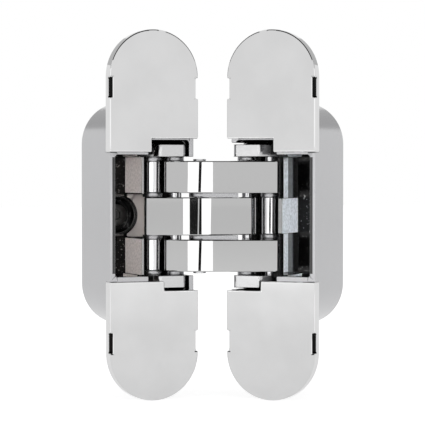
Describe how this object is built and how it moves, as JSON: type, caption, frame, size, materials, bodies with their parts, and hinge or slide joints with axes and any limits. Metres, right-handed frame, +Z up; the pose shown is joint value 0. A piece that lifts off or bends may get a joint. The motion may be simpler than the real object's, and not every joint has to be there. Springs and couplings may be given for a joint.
{
  "type": "concealed invisible door hinge",
  "caption": "Concealed door hinge with round ended cast leaves, capped covers and crossing curved arms that fold into open pockets.",
  "frame": {"origin": "midway between the outer fixing holes of the frame leaf, on the back of its flange", "axes": "+X from the frame leaf towards the door leaf, +Y into the wood behind the frame leaf, +Z up along the fold axis"},
  "size_m": [0.0763, 0.0527, 0.111],
  "materials": {
    "cast_housing": "satin chrome on cast zinc",
    "cast_carrier": "plated casting",
    "bright_cover": "bright chrome",
    "bright_arm": "bright chrome",
    "steel_pin": "ground",
    "polished_roller": "polished",
    "grey_washer": "dull",
    "screw_steel": "dark"
  },
  "bodies": {
    "frame_leaf": {"left_housing": "cast_housing", "left_top_cover": "bright_cover", "left_bottom_cover": "bright_cover", "left_carrier": "cast_carrier", "left_upper_adjusting_screw": "screw_steel", "left_lower_adjusting_screw": "screw_steel", "left_pivot_pin": "steel_pin", "left_upper_pivot_washer": "grey_washer", "left_lower_pivot_washer": "grey_washer"},
    "pressure_screw": {"left_pressure_screw": "screw_steel"},
    "long_arms": {"upper_arm": "bright_arm", "lower_arm": "bright_arm", "centre_pin": "steel_pin", "upper_centre_washer": "grey_washer", "lower_centre_washer": "grey_washer", "right_slide_pin": "steel_pin", "right_upper_slide_washer": "grey_washer", "right_lower_slide_washer": "grey_washer"},
    "middle_link": {"middle_arm": "bright_arm", "left_slide_pin": "steel_pin", "left_top_slide_washer": "grey_washer", "left_upper_slide_washer": "grey_washer", "left_lower_slide_washer": "grey_washer", "left_bottom_slide_washer": "grey_washer"},
    "upper_left_roller": {"left_upper_roller": "polished_roller"},
    "lower_left_roller": {"left_lower_roller": "polished_roller"},
    "right_roller_body": {"right_roller": "polished_roller"},
    "door_leaf": {"right_housing": "cast_housing", "right_top_cover": "bright_cover", "right_bottom_cover": "bright_cover", "right_carrier": "cast_carrier", "right_upper_adjusting_screw": "screw_steel", "right_lower_adjusting_screw": "screw_steel", "right_clamp_screw": "screw_steel", "right_pivot_pin": "steel_pin", "right_upper_pivot_washer": "grey_washer", "right_lower_pivot_washer": "grey_washer"}
  },
  "joints": [
    {"name": "long_arm_fold", "type": "hinge", "parent": "frame_leaf", "child": "long_arms", "pos_m": [0.0094, 0.0031, 0], "axis": [0, 0, -1], "range_deg": [-27.5, 85]},
    {"name": "centre_fold", "type": "hinge", "parent": "long_arms", "child": "middle_link", "pos_m": [0.01463, -0.00407, 0], "axis": [0, 0, -1], "range_deg": [-30.6, 9.9]},
    {"name": "door_leaf_fold", "type": "hinge", "parent": "middle_link", "child": "door_leaf", "pos_m": [0.02945, -0.00547, 0], "axis": [0, 0, -1], "range_deg": [-26.4, 81.6]},
    {"name": "upper_left_roller_turn", "type": "hinge", "parent": "middle_link", "child": "upper_left_roller", "pos_m": [0.0031, 0.0056, 0], "axis": [0, 0, 1], "continuous": true},
    {"name": "lower_left_roller_turn", "type": "hinge", "parent": "middle_link", "child": "lower_left_roller", "pos_m": [0.0031, 0.0056, 0], "axis": [0, 0, 1], "continuous": true},
    {"name": "right_roller_turn", "type": "hinge", "parent": "long_arms", "child": "right_roller_body", "pos_m": [0.03729, -0.00498, 0], "axis": [0, 0, 1], "continuous": true},
    {"name": "pressure_screw_turn", "type": "hinge", "parent": "frame_leaf", "child": "pressure_screw", "pos_m": [-0.0042, 0.0206, -0.0004], "axis": [0, -1, 0], "range_deg": [-180, 180]}
  ],
  "couplings": [
    {"joint": "centre_fold", "follows": "long_arm_fold", "ratio": -0.36},
    {"joint": "door_leaf_fold", "follows": "long_arm_fold", "ratio": 0.96}
  ]
}
